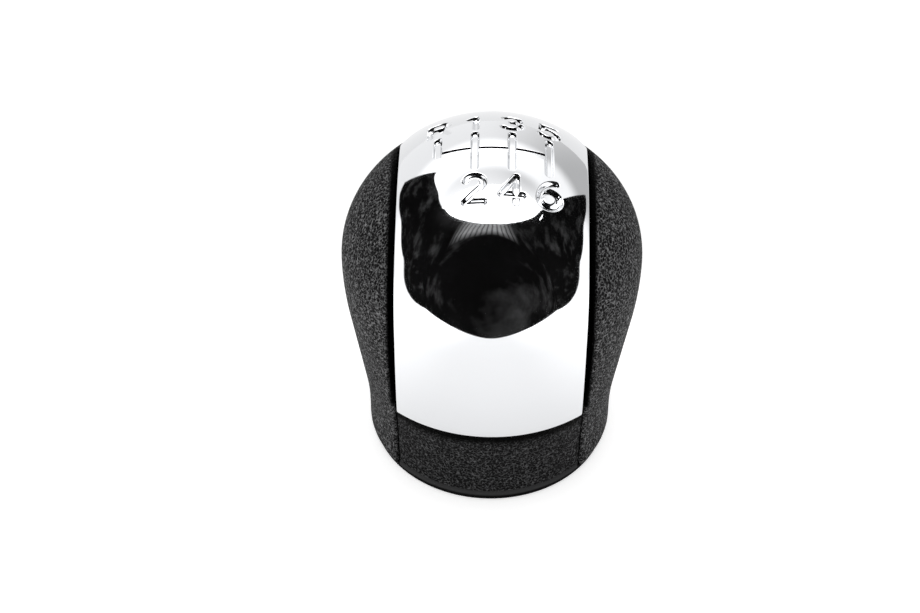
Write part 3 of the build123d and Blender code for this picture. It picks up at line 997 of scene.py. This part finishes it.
def felt_material() -> bpy.types.Material:
    """Black felt in soft folds, with a paler pleated fringe at the middle of the lamp's front."""
    fold_pitch, pleat_pitch = 0.2857, 0.034
    fringe_middle = -0.06
    material, tree, surface = blank_material("black_felt")
    place = node(tree, "ShaderNodeTexCoord").outputs["Object"]
    way = node(tree, "ShaderNodeSeparateXYZ", {"Vector": place})
    fold = node(
        tree,
        "ShaderNodeTexNoise",
        {"Vector": place, "Scale": 1 / fold_pitch, "Detail": 5.0, "Roughness": 0.65},
    )
    tint = node(
        tree,
        "ShaderNodeMapRange",
        {"Value": fold.outputs["Fac"], "From Min": 0.52, "From Max": 0.8, "To Min": 0.003, "To Max": 0.06},
    )
    aside = node(tree, "ShaderNodeMath", {0: way.outputs["X"], 1: fringe_middle}, operation="SUBTRACT")
    middle = node(tree, "ShaderNodeMath", {0: aside.outputs["Value"]}, operation="ABSOLUTE")
    hung = node(
        tree,
        "ShaderNodeMapRange",
        {"Value": middle.outputs["Value"], "From Min": 0.12, "From Max": 0.24, "To Min": 0.35, "To Max": 0.0},
    )
    # The phase of the wave texture grows by 20 radians over a length of 1 / scale
    wave = node(
        tree,
        "ShaderNodeTexWave",
        {"Vector": place, "Scale": 2 * math.pi / (20 * pleat_pitch), "Distortion": 1.5},
    )
    pleat = node(
        tree,
        "ShaderNodeMapRange",
        {"Value": wave.outputs["Fac"], "From Min": 0.05, "From Max": 0.5, "To Min": 0.25, "To Max": 1.0},
    )
    fringe = node(
        tree,
        "ShaderNodeMapRange",
        {
            "Value": way.outputs["Z"],
            "From Min": 0.5,
            "From Max": 0.6,
            "To Min": 0.0,
            "To Max": hung.outputs["Result"],
        },
    )
    cloth = node(
        tree,
        "ShaderNodeMath",
        {0: pleat.outputs["Result"], 1: fringe.outputs["Result"], 2: tint.outputs["Result"]},
        operation="MULTIPLY_ADD",
    )
    felt = node(tree, "ShaderNodeBsdfDiffuse", {"Color": cloth.outputs["Value"]})
    tree.links.new(felt.outputs["BSDF"], surface)
    return material


def dark_hood() -> bpy.types.Object:
    """Black hood that is seen only in reflections."""
    hood = new_piece(hood_mesh(), felt_material())
    hood.visible_camera = False
    hood.visible_diffuse = False
    hood.visible_shadow = False
    return hood


def paper_material(painted_glow: float) -> bpy.types.Material:
    """White paper with a tooth too fine to see at this distance, and a painted glow.

    The paper itself glows: this lifts the knob's shadow, and the chrome reflects its bright and dark parts.
    The painted glow grows brighter from 20 to 110 mm away from the middle. Behind the knob it is nearly dark.
    """
    # The paper's painted glow: strong at the sides, faint behind the knob
    side_painted_glow, rear_painted_glow = painted_glow + 0.8, 0.12
    material, tree, surface = blank_material("white_paper")
    place = node(tree, "ShaderNodeTexCoord").outputs["Object"]
    way = node(tree, "ShaderNodeSeparateXYZ", {"Vector": place})
    tooth = node(tree, "ShaderNodeTexNoise", {"Vector": place, "Scale": 1 / (0.4 * MM), "Detail": 2.0})
    tint = node(tree, "ShaderNodeMapRange", {"Value": tooth.outputs["Fac"], "To Min": 0.9, "To Max": 0.94})
    aside = node(tree, "ShaderNodeMath", {0: way.outputs["X"]}, operation="ABSOLUTE")
    painted_glow_aside = node(
        tree,
        "ShaderNodeMapRange",
        {
            "Value": aside.outputs["Value"],
            "From Min": 20 * MM,
            "From Max": 110 * MM,
            "To Min": painted_glow,
            "To Max": side_painted_glow,
        },
        interpolation_type="SMOOTHSTEP",
    )
    behind = node(
        tree,
        "ShaderNodeMapRange",
        {"Value": way.outputs["Y"], "From Min": 10 * MM, "From Max": 60 * MM},
        interpolation_type="SMOOTHSTEP",
    )
    painted_glow_strength = node(
        tree,
        "ShaderNodeMix",
        {"Factor": behind.outputs["Result"], "A": painted_glow_aside.outputs["Result"], "B": rear_painted_glow},
        data_type="FLOAT",
    )
    paper = node(
        tree,
        "ShaderNodeBsdfPrincipled",
        {
            "Base Color": tint.outputs["Result"],
            "Roughness": 0.9,
            "Specular IOR Level": 0.0,
            "Emission Color": linear("#FFFFFF"),
            "Emission Strength": painted_glow_strength.outputs["Result"],
        },
    )
    tree.links.new(paper.outputs["BSDF"], surface)
    return material


def paper_floor(painted_glow: float) -> bpy.types.Object:
    """Flat floor, 6 m wide."""
    half, points = 3.0, 3
    line = np.linspace(-half, half, points)
    x, y = np.meshgrid(line, line)
    verts = np.stack([x, y, np.zeros_like(x)], axis=-1).reshape(-1, 3)
    mesh = bpy.data.meshes.new("floor")
    mesh.from_pydata(verts.tolist(), [], sheet_quads(points, points).tolist())
    return new_piece(mesh, paper_material(painted_glow))


class KNOB_OT_stage(bpy.types.Operator):
    """Pale floor, soft studio light and the camera"""

    bl_idname = "knob.stage"
    bl_label = "Stage"

    def execute(self, context):
        scene = context.scene
        studio = scene.knob_studio
        paper_floor(studio.table)
        dark_hood()
        overhead_lamp(studio.lamp)
        scene.world = pale_room(studio.room)
        scene.view_settings.view_transform = "Standard"

        lens = bpy.data.cameras.new("camera")
        lens.lens = studio.lens
        lens.sensor_width = 36
        lens.shift_x = studio.shift
        lens.clip_start, lens.clip_end = 0.01, 20
        camera = bpy.data.objects.new("camera", lens)
        back = Vector((0, -math.cos(studio.elevation), math.sin(studio.elevation)))
        aim = Vector((0, 0, studio.target))
        look = (-back).to_track_quat("-Z", "Y").to_matrix().to_4x4()
        roll = Matrix.Rotation(studio.roll, 4, "Z")
        camera.matrix_world = Matrix.Translation(aim + back * studio.distance) @ look @ roll
        context.collection.objects.link(camera)
        scene.camera = camera
        return {"FINISHED"}


class KNOB_PT_panel(bpy.types.Panel):
    """Sizes, colours and steps of the knob"""

    bl_label = "Gear shift knob"
    bl_idname = "KNOB_PT_panel"
    bl_space_type = "VIEW_3D"
    bl_region_type = "UI"
    bl_category = "Knob"

    def draw(self, context):
        for group in GROUPS:
            settings = getattr(context.scene, group)
            box = self.layout.box()
            for name in settings.bl_rna.properties.keys():
                if name not in ("rna_type", "name"):
                    box.prop(settings, name)
        for operator in OPERATORS:
            self.layout.operator(operator.bl_idname)


GROUPS = {
    "knob_strap": StrapSizes,
    "knob_legs": LegSizes,
    "knob_pattern": PatternSizes,
    "knob_screws": ScrewSizes,
    "knob_finish": FinishSettings,
    "knob_studio": StudioSettings,
}
OPERATORS = (KNOB_OT_strap, KNOB_OT_grips, KNOB_OT_base, KNOB_OT_screws, KNOB_OT_stage)


def register():
    for made in (*GROUPS.values(), *OPERATORS, KNOB_PT_panel):
        bpy.utils.register_class(made)
    for name, group in GROUPS.items():
        setattr(bpy.types.Scene, name, bpy.props.PointerProperty(type=group))


def unregister():
    for name in GROUPS:
        delattr(bpy.types.Scene, name)
    for made in reversed((*GROUPS.values(), *OPERATORS, KNOB_PT_panel)):
        bpy.utils.unregister_class(made)


def main():
    """Dress the knob and set the stage."""
    register()
    bpy.ops.knob.strap()
    bpy.ops.knob.grips()
    bpy.ops.knob.base()
    bpy.ops.knob.screws()
    bpy.ops.knob.stage()


if __name__ == "__main__":
    main()
